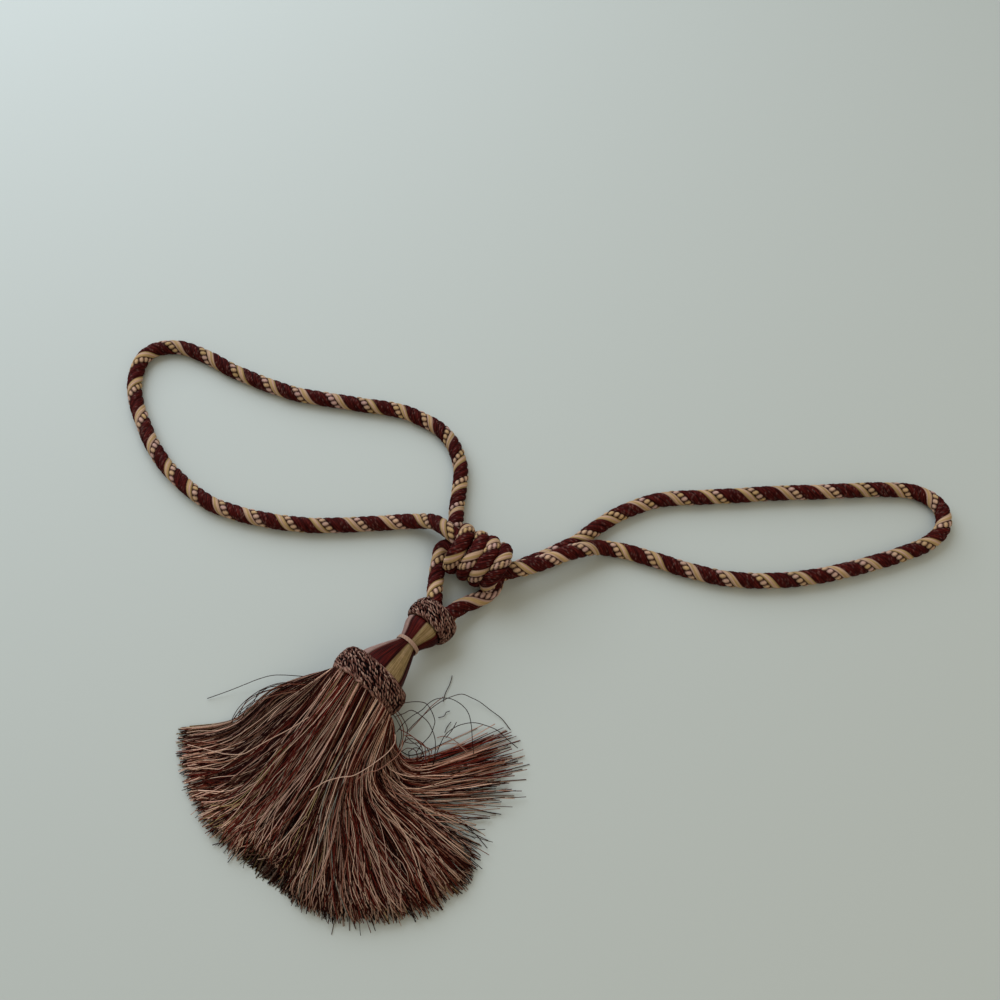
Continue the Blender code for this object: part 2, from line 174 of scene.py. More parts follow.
def yarnTubes(lines, radii, sides):
    # many thin yarns at once: lines (yarns, points, 3), radii (yarns, points), 3 or 4 sides; with uv
    count, rows = lines.shape[:2]
    ahead = unit(np.gradient(lines, axis=1))
    side = unit(np.cross(ahead, up))
    other = np.cross(side, ahead)
    turn = 2 * math.pi * np.arange(sides) / sides
    points = ringPoints(lines[:, :, None], side[:, :, None], -other[:, :, None], radii[:, :, None], turn)
    starts = (np.arange(count) * rows * sides)[:, None, None]
    quads = (tubeFaces(rows, sides)[None] + starts).reshape(-1, 4)
    first = np.arange(sides)[::-1][None, None, :] + starts
    last = np.arange(sides)[None, None, :] + (rows - 1) * sides + starts
    caps = np.concatenate((first, last)).reshape(-1, sides)
    steps = np.linalg.norm(np.diff(lines, axis=1, prepend=lines[:, :1]), axis=2)
    far = np.cumsum(steps, axis=1)
    return points, [quads, caps], stacked(far[:, :, None] / uvScale, np.arange(sides) / sides)


def addYarnPiece(name, material, slot, sides, lines, radii, values):
    points, faces, uv = yarnTubes(lines, radii, sides)
    values = np.repeat(values[:, :, None, :], sides, axis=2)
    return buildPiece(name, material, slot, points, faces, values, uv)


def curveSpan(a, b, c, d, t):  # Catmull-Rom curve: t from 0 to 1 runs from b to c
    return 0.5 * (2 * b + (c - a) * t + (2 * a - 5 * b + 4 * c - d) * t ** 2
                  + (3 * b - a - 3 * c + d) * t ** 3)


def smoothLine(points, steps=12):  # the same curve that the solids follow
    points = np.asarray(points, dtype=float)
    ends = np.vstack((2 * points[0] - points[1], points, 2 * points[-1] - points[-2]))
    t = (np.arange(steps) / steps)[:, None]
    spans = [curveSpan(*four, t) for four in zip(ends, ends[1:], ends[2:], ends[3:])]
    return np.vstack(spans + [points[-1:]])


def lengthsAlong(line):
    return np.concatenate(([0.0], np.cumsum(np.linalg.norm(np.diff(line, axis=0), axis=1))))


def countedPoints(line, count):  # the line again, with this many points, evenly apart
    far = lengthsAlong(line)
    wanted = np.linspace(0, far[-1], count)
    return np.stack([np.interp(wanted, far, line[:, k]) for k in range(3)], axis=1)


def evenly(line, spacing):  # the same, with points about spacing apart
    return countedPoints(line, max(2, int(round(lengthsAlong(line)[-1] / spacing)) + 1))


def softened(line, passes):  # rounds off the slight corners between curve spans
    for _ in range(passes):
        line[1:-1] = (line[:-2] + 2 * line[1:-1] + line[2:]) / 4
    return line


# camera, at the height of someone who looks down at a table

cameraView = {
    "place": (0.081, -0.120, 0.52486),  # in metres
    "tilt": 60.0,  # degrees down from level
    "roll": 2.5,
    "lens": 36.0,
}


def addCamera():
    camera = newObject("camera", bpy.data.cameras.new("camera"))
    camera.data.lens = cameraView["lens"]
    camera.data.clip_start = 0.01
    tilted = Matrix.Rotation(math.radians(90 - cameraView["tilt"]), 4, "X")
    rolled = Matrix.Rotation(math.radians(cameraView["roll"]), 4, "Z")
    camera.matrix_world = Matrix.Translation(cameraView["place"]) @ tilted @ rolled
    bpy.context.scene.camera = camera
    print("camera placed")


addCamera()


# rope: four strands laid to the right round each other

ropeSettings = {
    "diameter": 9.5,
    "lyingHeight": 4.8,  # of its centre line where it lies on the table
    "ringSpacing": 0.4,
    "strandShift": 7.7,  # mm by which the pattern of each strand is ahead of the last
    "layRadius": 4.3,  # where the strands' own length is measured
    "strands": (
        # kind, degrees of the rope's round, points across, outer radius, groove depth
        ("satin", 80, 12, 4.50, 0.45),
        ("crimson", 95, 12, 4.70, 0.55),
        ("crimson", 95, 12, 4.70, 0.75),
        ("beaded", 90, 15, 4.45, 0.55),
    ),
    "yarnRows": 4,  # side by side across a strand
    "rowDepth": {"satin": 0.13, "crimson": 0.20},
    "crimsonTwist": 1.9,  # length of one turn of a crimson yarn
    "crimsonTwistDepth": 0.10,
    "crimsonLean": 4.5,  # how far a turn leans along the strand from edge to edge
    # painted highlight: pale glints on the crests of the crimson yarns
    "glintLength": 1.4,
    "glintShare": 0.18,
    "glintBrightness": 0.55,
    "glintTone": 0.95,  # place of the painted glints in the cream colours
    "beadLength": 3.4,
    "beadHeight": 0.50,
    "beadLean": 6.4,
}
ropeRoutes = {
    # a point with no height lies on the table
    "leftLoop": (
        (59, 143, 13), (54.5, 150.5, 12.5), (55.5, 158, 10.5), (55.5, 165.5, 8), (55.5, 173.5, 5.8),
        (56, 183), (56.5, 197.5), (53.5, 211.5), (45.5, 225.5), (33.5, 234.5), (15.5, 242), (-6.5, 245),
        (-29, 248), (-51.5, 251.5), (-74, 259), (-95, 268), (-114.5, 278.5), (-132, 284.5), (-146, 282.5),
        (-154, 274), (-155.5, 261), (-153, 246), (-145, 228), (-133.5, 208), (-121, 192.5), (-107, 180),
        (-91.5, 169.5), (-72.5, 163), (-51, 159), (-29, 157.5), (-6.5, 159), (11.5, 161),
        (25.5, 162.5, 5.2), (35, 162, 7.5), (42.5, 159.5, 12), (48, 154.5, 17), (52.5, 149.5, 20.5),
        (60, 143, 20),
    ),
    "rightLoop": (
        (84, 131, 5.5), (90, 133.5, 5), (96, 137), (103.5, 140.5), (111, 144.5), (119, 149), (128, 154.5),
        (136.5, 162), (147, 170.5), (161.5, 179), (179, 185.5), (200, 188), (223.5, 190.5), (248.5, 193.5),
        (273, 195.5), (297.5, 198), (318.5, 199.5), (333, 198.5), (343, 193.5), (348, 184.5),
        (345.5, 173.5), (335.5, 163.5), (317.5, 155), (295.5, 147), (274.5, 140.5), (253.5, 136),
        (233, 134), (213, 134.5), (193, 138.5), (173, 144.5), (158.5, 148.5), (147, 150, 5.8),
        (138.5, 149.2, 8.2), (131, 146.5, 10.8), (122.5, 143, 12.6), (114.5, 139, 13.6), (107, 135, 14.6),
        (100, 131.5, 15.4), (93, 129.2, 16), (84, 129, 16),
    ),
    "leftHanger": (
        (80, 131, 16), (72, 135, 15.5), (63, 139.5, 14), (55, 144, 12), (49, 144, 9.6), (47.6, 138.5, 7.6),
        (46.8, 132, 6.5), (46.6, 124, 7), (46.4, 116, 9), (46.8, 110.5, 10.5), (46.9, 106, 11.5),
        (44.6, 102.8, 12.2),
    ),
    "rightHanger": (
        (52.6, 96.9, 12.2), (55.2, 100.9, 11.5), (60.8, 107, 9.4), (67, 111.6, 6.8), (73, 115.2, 5.2),
        (78.4, 119.8), (81, 125.4, 6.2), (81.5, 129.8, 9), (80, 133, 12), (76, 135.5, 14),
        (68, 139.5, 13.5), (59, 143, 13),
    ),
}
ropeTwists = {
    # degrees that the strands are turned by where the route starts, then how their pitch changes
    # along it, as pairs of distance and pitch: handling has loosened and tightened the lay
    "leftLoop": (170, ((0, 17.6), (30, 17.95), (90, 18.6), (182, 22.8), (190, 21.4), (204, 21.4),
                       (212, 23.6), (238, 23.4), (250, 24.9), (298, 24.6), (308, 23.2), (350, 24.1),
                       (410, 20.7), (500, 20.4), (540, 20.5), (597, 23.3))),
    "rightLoop": (186, ((0, 20.6), (60, 20.9), (120, 21.8), (200, 24.1), (270, 20.2), (310, 20.1),
                        (400, 21.2), (500, 21.5), (577, 20.8))),
    "leftHanger": (138, ((0, 23.5), (110, 23.5))),
    "rightHanger": (155, ((0, 35.7), (40, 35.7), (60, 22.0), (110, 22.0))),
    "coil": (202, ((0, 18.6), (50, 22.0), (80, 22.4), (115, 20.6), (175, 19.0), (190, 18.5),
                   (205, 18.5), (228, 21.6), (249, 18.8), (306, 20.0))),
}
coilSettings = {
    "beadScale": 0.78,  # the tight turns squeeze the beads shorter
    "centre": (71.7, 134, 16),
    "axisAngle": -27.4,
    "stations": (
        # degrees round the coil from its top towards the skirt, place along the axis, radius
        (-230, -11.0, 5.0), (-150, -15.0, 8.5), (-90, -16.0, 10.6), (0, -11.6, 11.1),
        (90, -13.4, 11.0), (180, -13.0, 10.9), (270, -7.5, 11.0), (360, -1.9, 11.1),
        (450, -4.6, 11.2), (540, -5.8, 10.9), (630, -0.3, 11.2), (720, 5.5, 11.6),
        (810, 2.9, 11.2), (900, 1.4, 10.9), (990, 7.3, 10.8), (1080, 13.6, 10.7),
        (1170, 10.6, 10.8), (1260, 8.4, 10.7), (1340, 7.0, 7.0), (1400, 3.0, 4.0),
    ),
}


def makeRopeMaterial():
    # rayon rope: satin cream yarns shine softly, the crimson gimp is duller and finely ribbed
    material, tree, shader = newMaterial("twistedRayonRope", {"Specular IOR Level": 0.06})
    cream, tone, light, uvMap = yarnInputs(tree)
    place = addNode(tree, "TexCoord").outputs["Object"]
    strands = addNode(tree, "Mapping", {"Scale": (14.0, 34.0, 1.0)}, {"Vector": uvMap})
    # streaks 7 mm long and 0.9 mm wide
    patches = addNode(tree, "TexNoise", {"Scale": 1.0, "Detail": 2.0}, {"Vector": strands})
    broad = addNode(tree, "TexNoise", {"Scale": 35.0, "Detail": 2.0}, {"Vector": place})
    creamTones = addNode(tree, "ValToRGB", links={"Fac": tone})
    setRamp(creamTones, ((0.0, "#a68a52"), (0.35, "#c2a070"), (0.7, "#c8a48a"), (1.0, "#c29c90")))
    crimson = addNode(tree, "ValToRGB", links={"Fac": patches})
    setRamp(crimson, ((0.3, "#260403"), (0.5, "#4a0f0b"), (0.72, "#722a21")))
    mixed = addNode(tree, "Mix", {"data_type": "RGBA"}, {0: cream, 6: crimson, 7: creamTones})
    colour = shadedBy(tree, mixed.outputs[2], (
        (light, 0.0, 1.0, 0.06, 1.06),  # painted shade in the grooves between the yarns and strands and between the beads
        (patches, 0.3, 0.7, 0.78, 1.1),
        (broad, 0.3, 0.7, 0.85, 1.12)))  # the dye drifts slowly along the rope
    dull = addNode(tree, "MapRange", {"To Min": 0.72, "To Max": 0.5}, {"Value": cream})
    tree.links.new(dull.outputs["Result"], shader.inputs["Roughness"])
    fibres = addNode(tree, "TexNoise", {"Scale": 2600.0, "Detail": 2.0}, {"Vector": place})
    finishMaterial(tree, shader, colour, fibres, 0.35, 0.0002)
    return material


def ropeColumns():  # for each point round the rope: angle, radius, strand number, place across the strand
    rows = []
    angle = -ropeSettings["strands"][0][1] / 2
    for number, (kind, width, count, outer, depth) in enumerate(ropeSettings["strands"]):
        across = (np.arange(count) + 0.5) / count
        radius = outer - depth * np.abs(2 * across - 1) ** 2.6
        for a, r in zip(across, radius):
            rows.append((math.radians(angle + width * a), r, number, a))
        angle += width
    return np.array(rows)


def strandTurns(far, start, pitches):  # radians turned and length run by a strand at each distance
    places, values = np.array(pitches, dtype=float).T
    pitch = np.interp(far, places, values)
    step = np.diff(far, prepend=0.0)
    turn = math.radians(start) + np.cumsum(2 * math.pi * step / pitch)
    run = np.cumsum(step * np.hypot(1.0, 2 * math.pi * ropeSettings["layRadius"] / pitch))
    return turn, run


def spotNoise(*cells):  # an even spread of numbers from 0 to 1, one for each cell
    mixed = sum(np.asarray(c, dtype=float) * k for c, k in zip(cells, (12.9898, 78.233, 37.719)))
    return np.abs(np.sin(mixed) * 43758.5453) % 1.0


def strandLook(kind, along, a, number, beadScale):
    # along a strand and across it (a, from 0 to 1): relief, share of cream, tone and light, where the light
    # is painted shade
    s = ropeSettings
    if kind == "beaded":
        leant = (along + s["beadLean"] * (a - 0.5)) / (s["beadLength"] * beadScale)
        oval = 1 - np.abs(2 * (leant % 1.0) - 1) ** 2.6 * 1.55 - np.abs(2 * a - 1) ** 2.6 * 1.35
        bead = np.sqrt(np.clip(oval, 0, 1))
        tone = 0.25 + 0.75 * spotNoise(np.floor(leant), 7)
        # painted shade in the gaps between the beads
        return s["beadHeight"] * (bead - 0.5), np.clip(bead * 4.0 - 0.8, 0, 1), tone, 0.22 + 0.84 * bead
    rowNumber = np.floor(s["yarnRows"] * a)
    row = np.abs(np.sin(math.pi * s["yarnRows"] * a))
    relief = s["rowDepth"][kind] * (row ** 0.6 - 1)
    # painted shade: each strand darker towards its edges, in the grooves between the strands
    light = 1 - np.abs(2 * a - 1) ** 5 * 0.6
    if kind == "satin":
        drift = 0.5 + 0.5 * np.sin(along * 0.045 + rowNumber * 2.3)
        tone = 0.25 * spotNoise(rowNumber, 3) + 0.75 * drift
        # painted shade in the grooves between the yarn rows
        return relief, 1.0, tone, light * (0.52 + 0.48 * row ** 0.7)
    leant = along + s["crimsonLean"] * a
    wave = np.sin(2 * math.pi * leant / s["crimsonTwist"])
    # painted highlight: pale glints on the crests of the yarn rows, mixed in as cream
    cells = leant / s["glintLength"]
    chosen = spotNoise(np.floor(cells), rowNumber, number) > 1 - s["glintShare"]
    glint = chosen * np.clip(1.2 - np.abs(cells % 1.0 - 0.5) * 5.0, 0, 1) * row
    # painted shade between the yarn rows and in the troughs of the twist
    light = light * (0.38 + 0.62 * row ** 0.7) * (0.76 + 0.24 * wave)
    return relief + s["crimsonTwistDepth"] * wave, s["glintBrightness"] * glint, s["glintTone"], light


def ropeSurface(line, side, start, pitches, beadScale=1.0):
    # line: ring centres, side: where each ring's angle 0 points; returns points, yarnMap values and uv
    s = ropeSettings
    angle, radius, number, across = ropeColumns().T
    ahead = unit(np.gradient(line, axis=0))
    side = unit(side - (side * ahead).sum(1, keepdims=True) * ahead)
    other = np.cross(ahead, side)
    turn, run = strandTurns(lengthsAlong(line), start, pitches)
    along = run[:, None] + number * s["strandShift"]
    looks = np.empty((4, *along.shape))
    for strand, (kind, *_) in enumerate(s["strands"]):
        own = number == strand
        look = strandLook(kind, along[:, own], across[own], strand, beadScale)
        looks[:, :, own] = np.stack(np.broadcast_arrays(along[:, own], *look)[1:])
    reach = radius + looks[0]
    spin = angle + turn[:, None]
    points = ringPoints(line[:, None], side[:, None], other[:, None], reach, spin)
    points[..., 2] = np.maximum(points[..., 2], 0.0)  # pressed flat where it lies on the table
    return points, stacked(*np.clip(looks[1:], 0, 1), 1.0), stacked(along / uvScale, angle / (2 * math.pi))


def closedTube(points, values, uv):  # adds the two end discs of a tube given as rings
    rows, columns = points.shape[:2]
    faces = [tubeFaces(rows, columns), endFans(rows * columns, rows, columns)]
    centres = np.stack((points[0].mean(0), points[-1].mean(0)))
    allPoints = np.vstack((points.reshape(-1, 3), centres))
    allValues = np.vstack((values.reshape(-1, 4), values[0, 0], values[-1, 0]))
    allUv = np.vstack((uv.reshape(-1, 2), uv[0, 0], uv[-1, 0]))
    return allPoints, faces, allValues, allUv


def addRope(name, node, material):
    route = [(*point, ropeSettings["lyingHeight"])[:3] for point in ropeRoutes[name]]
    line = evenly(softened(evenly(smoothLine(route), 1.0), 6), ropeSettings["ringSpacing"])
    tube = closedTube(*ropeSurface(line, np.broadcast_to(up, line.shape), *ropeTwists[name]))
    piece = buildPiece(name + "Rope", material, "cord", *tube)
    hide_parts(node)


def addCoil(material):
    s = coilSettings
    table = smoothLine(s["stations"], 40)
    turn = np.radians(table[:, 0])
    axis = levelAxis(s["axisAngle"])
    outward = np.cos(turn)[:, None] * up + np.sin(turn)[:, None] * np.cross(axis, up)
    line = np.array(s["centre"]) + table[:, 1:2] * axis + table[:, 2:3] * outward
    line = evenly(softened(evenly(line, 0.5), 8), ropeSettings["ringSpacing"])
    offset = line - np.array(s["centre"])
    outward = offset - (offset @ axis)[:, None] * axis
    tube = closedTube(*ropeSurface(line, outward, *ropeTwists["coil"], s["beadScale"]))
    piece = buildPiece("knotCoil", material, "cord", *tube)
    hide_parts("knot")
    print("knot coil", round(lengthsAlong(line)[-1]), "mm")


ropeMaterial = makeRopeMaterial()
for name, node in (("leftLoop", "left_loop"), ("rightLoop", "right_loop"),
                   ("leftHanger", "left_hanger"), ("rightHanger", "right_hanger")):
    addRope(name, node, ropeMaterial)
addCoil(ropeMaterial)


# tassel head: neck of lengthwise satin yarns, thread at its waist, braided collar and ruff

headSettings = {
    "collarCentre": (46.4, 96.7, 12.8),
    "ruffCentre": (16.6, 58.0, 19.6),
    "flatten": 0.9,  # the soft head is this much lower than wide
    "ruffAngle": -128.0,  # degrees about Z that the ruff's axis points, level
}
neckSettings = {
    "profile": (
        # along the neck from the collar's centre, radius
        (-3.4, 8.2), (-2.6, 9.4), (5.6, 10.0), (7.2, 10.9), (10.5, 10.3), (14.5, 8.2), (18.6, 6.5),
        (21.4, 6.5), (26.0, 8.6), (32.0, 11.4), (38.0, 13.9), (42.6, 15.1), (44.4, 14.9),
        (49.0, 14.7), (50.4, 13.8),
    ),
    "columns": 144,
    "rowSpacing": 0.8,
    "panels": (
        # from, to in degrees round the neck, place in the yarn colours
        (-160, -100, 0.1), (-100, -40, 0.9), (-40, 30, 0.09),
        (30, 78, 0.6), (78, 130, 0.12), (130, 200, 1.0),
    ),
    "seamDepth": 0.35,
    "yarnsRound": 96,
    "lean": 3.0,  # degrees that the yarns turn for each 10 mm
    "waist": 20.0,  # where along the neck the thread ties it
}
threadSettings = {"turns": 4, "spacing": 0.55, "threadRadius": 0.3, "neckRadius": 6.6}
braidSettings = {
    "collarBraid": {"hole": 10.4, "outer": 13.9, "halfLength": 6.0, "columns": 78, "rows": 13, "loops": 0},
    "ruffBraid": {"hole": 16.9, "outer": 21.4, "halfLength": 6.8, "columns": 112, "rows": 14, "loops": 25},
    "coreColumns": 72,  # of the core that shows between the stitches, painted dark as the shade in the gaps
    "coreSunk": 0.55,
    # painted shade on the core
    "coreLight": 0.3,
    "stitchLength": 2.9,
    "stitchRadius": 0.36,
    "slant": -34.0,  # degrees from the way round the band
    "loopLength": 5.2,  # larger loops along the lower edge
    "loopRadius": 0.78,
    "loopPlace": 72.0,  # degrees round the band's section
    "reach": 97.0,  # degrees round the band's section that the stitches cover each way
}


def axisFrame(axis):  # level side, upright and axis, as the solids of the head are laid
    axis = axis / np.linalg.norm(axis)
    side = np.cross(up, axis)
    side /= np.linalg.norm(side)
    return side, np.cross(axis, side), axis


def neckFrame():
    collar = np.array(headSettings["collarCentre"])
    return collar, axisFrame(np.array(headSettings["ruffCentre"]) - collar)


def ruffFrame():
    return np.array(headSettings["ruffCentre"]), axisFrame(levelAxis(headSettings["ruffAngle"]))


def turnedPoints(centre, axes, along, radius, turn):  # along, radius and turn may be arrays of one shape
    side, upright, axis = axes
    flatten = headSettings["flatten"]
    return (centre + np.asarray(along)[..., None] * axis
            + (radius * np.cos(turn))[..., None] * side
            + (radius * np.sin(turn) * flatten)[..., None] * upright)


def addNeck(material):
    s = neckSettings
    centre, axes = neckFrame()
    profile = evenly(smoothLine([(a, r, 0) for a, r in s["profile"]]), s["rowSpacing"])[:, :2]
    turn = 2 * math.pi * np.arange(s["columns"]) / s["columns"]
    along, turns = np.meshgrid(profile[:, 0], turn, indexing="ij")
    radius = np.broadcast_to(profile[:, 1:], along.shape)
    degrees = (np.degrees(turns) + 160) % 360 - 160  # the panels are numbered from -160 on
    turns = turns - np.radians(s["lean"] * (along - s["waist"]) / 10)  # and their edges follow the yarns
    tone = np.zeros_like(along)
    seam = np.full_like(along, 90.0)
    for first, last, place in s["panels"]:
        inside = (degrees >= first) & (degrees < last)
        tone[inside] = place
        seam = np.where(inside, np.minimum(degrees - first, last - degrees), seam)
    radius = radius - s["seamDepth"] * np.exp(-(seam / 4) ** 2)
    points = turnedPoints(centre, axes, along, radius, turns)
    waist = np.exp(-((along - s["waist"]) / 3.5) ** 2)
    light = np.clip(1 - 0.5 * np.exp(-(seam / 3) ** 2) - 0.25 * waist, 0, 1)
    values = stacked(tone, degrees / 360 + 0.5, light, 1.0)
    uv = stacked(along / uvScale, degrees / 360 + 0.5)
    piece = buildPiece("satinNeck", material, "satin", *closedTube(points, values, uv))
    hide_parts("neck")
    print("neck turned")


def addWaistThread(material):
    s = threadSettings
    centre, axes = neckFrame()
    turn = np.linspace(0, 2 * math.pi * s["turns"], 48 * s["turns"])
    along = neckSettings["waist"] + (turn / (2 * math.pi) - s["turns"] / 2) * s["spacing"]
    radius = s["neckRadius"] + s["threadRadius"] + 0.04 * np.sin(turn * 2.3)
    line = turnedPoints(centre, axes, along, radius, turn)[None]
    radii = np.full(line.shape[:2], s["threadRadius"])
    values = np.tile((0.5, 0.5, 1.0, 1.0), (*radii.shape, 1))
    piece = addYarnPiece("waistThread", material, "thread", 4, line, radii, values)
    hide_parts("waist_tie")
    print("waist bound")


def bandSurface(band, section, proud):  # along and radius of a band's rounded outside
    thick = band["outer"] - band["hole"]
    along = (band["halfLength"] + proud) * np.sin(section)
    radius = band["hole"] + thick * 0.35 + (thick * 0.65 + proud) * np.cos(section)
    return along, radius


def stitchShape(length, radius):  # one short fat stitch: rings of a capsule along X, with its tips
    rings = 4
    around = 5
    spread = np.linspace(-1, 1, rings + 2)[1:-1]
    x = spread / 2 * length * 0.92
    girth = radius * np.sqrt(1 - spread ** 4) * 0.98
    turn = 2 * math.pi * np.arange(around) / around
    body = stacked(x[:, None], girth[:, None] * np.cos(turn), girth[:, None] * np.sin(turn))
    points = np.vstack((body.reshape(-1, 3), (-0.5 * length, 0, 0), (0.5 * length, 0, 0)))
    return points, tubeFaces(rings, around), endFans(len(points) - 2, rings, around)


def addBraid(name, node, frameOf, material, seed):
    s = braidSettings
    band = s[name]
    centre, axes = frameOf()
    random = np.random.default_rng(seed)
    # the core: a closed ring, level inside and rounded outside
    section = np.radians(np.concatenate((np.linspace(-115, 115, 20), [150, 180, 210])))
    along, radius = bandSurface(band, section, -s["coreSunk"])
    radius = np.where(section > math.radians(120), band["hole"], radius)
    turn = 2 * math.pi * np.arange(s["coreColumns"]) / s["coreColumns"]
    grid = np.broadcast_arrays(along[None, :], radius[None, :], turn[:, None])
    corePoints = turnedPoints(centre, axes, *grid).reshape(-1, 3)
    core = tubeFaces(s["coreColumns"] + 1, len(section)) % len(corePoints)  # its last ring is the first
    # the core takes the darkest yarn colour and painted shade, for the shade in the gaps between the
    # stitches
    coreValues = np.tile((0.0, 0.5, s["coreLight"], 1.0), (len(corePoints), 1))
    # rows of short slanting stitches
    shape, quads, tips = stitchShape(s["stitchLength"], s["stitchRadius"])
    rows = np.radians(np.linspace(-s["reach"], s["reach"], band["rows"]))
    rowNumber, column = (n.ravel() for n in np.indices((band["rows"], band["columns"])))
    section = rows[rowNumber]
    turn = (column + 0.5 * (rowNumber % 2)) / band["columns"]
    isLoop = np.concatenate((np.zeros(len(turn), dtype=bool), np.ones(band["loops"], dtype=bool)))
    section = np.concatenate((section, np.full(band["loops"], math.radians(s["loopPlace"]))))
    turn = np.concatenate((turn, np.arange(band["loops"]) / max(band["loops"], 1)))
    count = len(turn)
    section = section + random.normal(0, 0.05, count)
    turn = 2 * math.pi * (turn + random.normal(0, 0.14, count) / band["columns"])
    step = 0.01  # radians between the two places that give a direction

    def placeAt(sections, turns, proud=0.0):
        return turnedPoints(centre, axes, *bandSurface(band, sections, proud), turns)

    spot = placeAt(section, turn, random.normal(0.0, 0.10, count) + 0.25 * isLoop)
    across = unit(placeAt(section + step, turn) - placeAt(section - step, turn))
    around = unit(placeAt(section, turn + step) - placeAt(section, turn - step))
    outward = unit(np.cross(around, across))
    outward *= np.sign(((spot - centre) * outward).sum(1, keepdims=True))
    slant = np.radians(s["slant"] + random.normal(0, 9, count) + 12 * np.sin(turn * 5 + section * 3))
    slant = np.where(isLoop, np.radians(random.normal(-10, 22, count)), slant)
    lay = unit(np.cos(slant)[:, None] * around + np.sin(slant)[:, None] * across)
    wide = np.cross(outward, lay)
    size = random.uniform(0.8, 1.12, count) * np.where(isLoop, random.uniform(0.7, 1.1, count), 1.0)
    long = (size * np.where(isLoop, s["loopLength"] / s["stitchLength"], 1.0))[:, None, None]
    thick = (size * np.where(isLoop, s["loopRadius"] / s["stitchRadius"], 1.0))[:, None, None]
    stitches = (spot[:, None, :] + long * shape[:, 0:1] * lay[:, None, :]
                + thick * (shape[:, 1:2] * wide[:, None, :] + shape[:, 2:3] * outward[:, None, :]))
    stitches[..., 2] = np.maximum(stitches[..., 2], 0.02)  # pressed flat where the head rests
    starts = len(corePoints) + (np.arange(count) * len(shape))[:, None, None]
    tone = np.where(isLoop, random.uniform(0.3, 0.8, count), random.uniform(0, 1, count))
    # painted shade: each stitch is darker towards its two ends and on its lower side
    ends = np.abs(shape[:, 0]) / (0.5 * s["stitchLength"])
    under = np.clip(0.5 + shape[:, 2] / s["stitchRadius"], 0.25, 1)  # a stitch's lower side is in shade
    light = np.clip((1.0 - 0.55 * ends ** 2) * under + random.normal(0, 0.06, (count, 1)), 0.05, 1)
    values = stacked(tone[:, None], 1.0, light, 1.0)
    points = np.vstack((corePoints, stitches.reshape(-1, 3)))
    faces = [core, (quads[None] + starts).reshape(-1, 4), (tips[None] + starts).reshape(-1, 3)]
    stitchUv = stacked(shape[:, 0] / uvScale, np.arctan2(shape[:, 2], shape[:, 1]) / (2 * math.pi))
    allUv = np.vstack((np.zeros((len(corePoints), 2)), np.tile(stitchUv, (count, 1))))
    allValues = np.vstack((coreValues, values.reshape(-1, 4)))
    piece = buildPiece(name, material, "braid", points, faces, allValues, allUv)
    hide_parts(node)
    print(name, count, "stitches")


# skirt: nearly four thousand cut yarns that fan out on the table, in the flow of its locks

